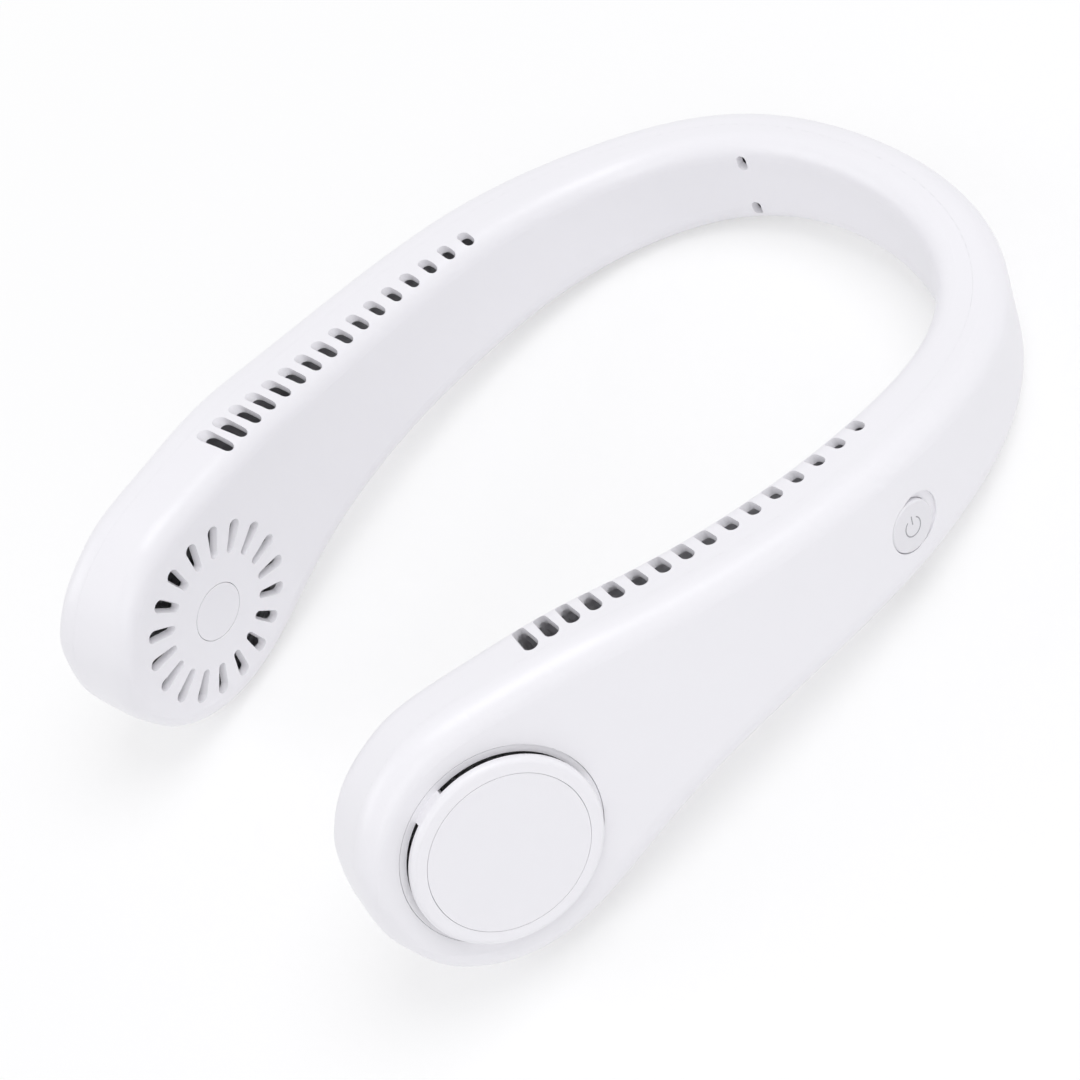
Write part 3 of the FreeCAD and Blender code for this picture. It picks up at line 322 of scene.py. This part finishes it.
for subpart in frame["record"]["subparts"]:
    mesh = nodes[subpart["node"]].data
    mesh.materials.clear()
    mesh.materials.append(finishes[subpart["material_slot"]])


# power symbol, a raised line on the button's face, coloured grey as painted shade standing in for the shade
# a groove collects

symbolSize = {
    "radius": 2.3,        # mm, middle of the line
    "barFrom": 0.65,
    "barTo": 2.8,
    "gapAngle": 35.0,     # half of the opening at the top, degrees
    "lineWidth": 0.34,
    "standsProud": 0.1,
    "turn": -14.0,        # of the bar from straight up, degrees
    "arcPoints": 40,
    "roundness": 3,
}


def buttonFrame():
    press = joints["power_button_press"]
    outward = -Vector(press["axis"]).normalized()
    up = (Vector((0, 0, 1)) - outward * outward.z).normalized()
    return Vector(press["pos_m"]), up.cross(outward), up, outward


def addPowerSymbol(size):
    centre, along, up, outward = buttonFrame()
    face = max((v.co - centre).dot(outward) for v in nodes["power_button"].data.vertices)
    turn = math.radians(size["turn"])

    def spot(radius, angle):
        side = math.sin(angle - turn) * radius * millimetre
        rise = math.cos(angle - turn) * radius * millimetre
        return centre + outward * face + along * side + up * rise

    gap = math.radians(size["gapAngle"])
    sweep = 2 * math.pi - 2 * gap
    steps = size["arcPoints"] - 1
    arc = [spot(size["radius"], gap + sweep * step / steps) for step in range(size["arcPoints"])]
    bar = [spot(size["barFrom"], 0.0), spot(size["barTo"], 0.0)]
    curve = bpy.data.curves.new("powerSymbol", "CURVE")
    curve.dimensions = "3D"
    curve.bevel_depth = size["lineWidth"] / 2 * millimetre
    curve.bevel_resolution = size["roundness"]
    curve.use_fill_caps = True
    sink = size["lineWidth"] / 2 - size["standsProud"]
    for points in (arc, bar):
        spline = curve.splines.new("POLY")
        spline.points.add(len(points) - 1)
        for point, place in zip(spline.points, points):
            point.co = (*(place - outward * sink * millimetre), 1.0)
    symbol = bpy.data.objects.new("powerSymbol", curve)
    bpy.context.scene.collection.objects.link(symbol)
    curve.materials.append(plasticFinish("symbolPaintedShade", symbolPaintedShade))
    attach(symbol, "power_button")


addPowerSymbol(symbolSize)
print("power symbol added")


# studio: pale floor, white surround and soft lamps

studio = {
    "floorSize": 8.0,          # m
    "floorColour": (0.96, 0.96, 0.96),
    "floorLift": 0.5,          # share of plain white that the camera sees in the floor under the fan
    "fadeFrom": 0.1,           # m from the middle, where the floor starts to fade to plain white
    "fadeTo": 0.5,
    "surroundColour": (0.97, 0.97, 1.0),
    "surroundStrength": 0.64,
    "aim": (0.0, 0.0, 0.03),   # where the lamps point
}
lamps = [
    {"name": "overheadSoftbox", "place": (0.3, 0.35, 1.22), "size": 0.9, "power": 6.0},
    {"name": "sideSoftbox", "place": (1.05, -0.7, 0.75), "size": 0.9, "power": 2.5},
    {"name": "leftSoftbox", "place": (-0.9, -0.9, 0.8), "size": 0.9, "power": 2.8},
]


def addFloor(setup):
    half = setup["floorSize"] / 2
    mesh = bpy.data.meshes.new("studioFloor")
    corners = [(-half, -half, 0), (half, -half, 0), (half, half, 0), (-half, half, 0)]
    mesh.from_pydata(corners, [], [(0, 1, 2, 3)])
    floor = bpy.data.objects.new("studioFloor", mesh)
    bpy.context.scene.collection.objects.link(floor)
    material = bpy.data.materials.new("floorPaper")
    material.use_nodes = True
    tree = material.node_tree
    tree.nodes.clear()
    paper = addNode(tree, "ShaderNodeBsdfDiffuse", values={"Color": setup["floorColour"] + (1.0,)})
    white = addNode(tree, "ShaderNodeEmission", values={"Strength": 1.0})
    rays = addNode(tree, "ShaderNodeLightPath")
    seen = mathNode(tree, "MAXIMUM", rays.outputs["Is Camera Ray"], rays.outputs["Is Glossy Ray"])
    coordinates = addNode(tree, "ShaderNodeTexCoord").outputs["Object"]
    distance = addNode(tree, "ShaderNodeVectorMath", {"operation": "LENGTH"})
    tree.links.new(coordinates, distance.inputs[0])
    fade = addNode(tree, "ShaderNodeMapRange", values={
        "From Min": setup["fadeFrom"], "From Max": setup["fadeTo"],
        "To Min": setup["floorLift"], "To Max": 1.0})
    tree.links.new(distance.outputs["Value"], fade.inputs["Value"])
    lift = mathNode(tree, "MULTIPLY", seen, fade.outputs["Result"])
    mix = addNode(tree, "ShaderNodeMixShader")
    output = addNode(tree, "ShaderNodeOutputMaterial")
    tree.links.new(lift, mix.inputs["Fac"])
    tree.links.new(paper.outputs[0], mix.inputs[1])
    tree.links.new(white.outputs[0], mix.inputs[2])
    tree.links.new(mix.outputs[0], output.inputs["Surface"])
    mesh.materials.append(material)


def addSurround(setup):
    world = bpy.data.worlds.new("studioSurround")
    bpy.context.scene.world = world
    world.use_nodes = True
    tree = world.node_tree
    tree.nodes.clear()
    light = addNode(tree, "ShaderNodeBackground", values={
        "Color": setup["surroundColour"] + (1.0,), "Strength": setup["surroundStrength"]})
    white = addNode(tree, "ShaderNodeBackground", values={"Color": (1, 1, 1, 1), "Strength": 1.0})
    rays = addNode(tree, "ShaderNodeLightPath")
    direct = mathNode(tree, "MAXIMUM", rays.outputs["Is Camera Ray"], rays.outputs["Is Glossy Ray"])
    seen = mathNode(tree, "MAXIMUM", direct, rays.outputs["Is Transmission Ray"])
    mix = addNode(tree, "ShaderNodeMixShader")
    output = addNode(tree, "ShaderNodeOutputWorld")
    tree.links.new(seen, mix.inputs["Fac"])
    tree.links.new(light.outputs[0], mix.inputs[1])
    tree.links.new(white.outputs[0], mix.inputs[2])
    tree.links.new(mix.outputs[0], output.inputs["Surface"])


def addLamp(lamp, aim):
    data = bpy.data.lights.new(lamp["name"], "AREA")
    data.shape = "DISK"
    data.size = lamp["size"]
    data.energy = lamp["power"]
    light = bpy.data.objects.new(lamp["name"], data)
    light.location = lamp["place"]
    light.rotation_euler = (aim - Vector(lamp["place"])).to_track_quat("-Z", "Y").to_euler()
    bpy.context.scene.collection.objects.link(light)


addFloor(studio)
addSurround(studio)
for lamp in lamps:
    addLamp(lamp, Vector(studio["aim"]))
bpy.context.scene.view_settings.view_transform = "Standard"
print("studio lit")
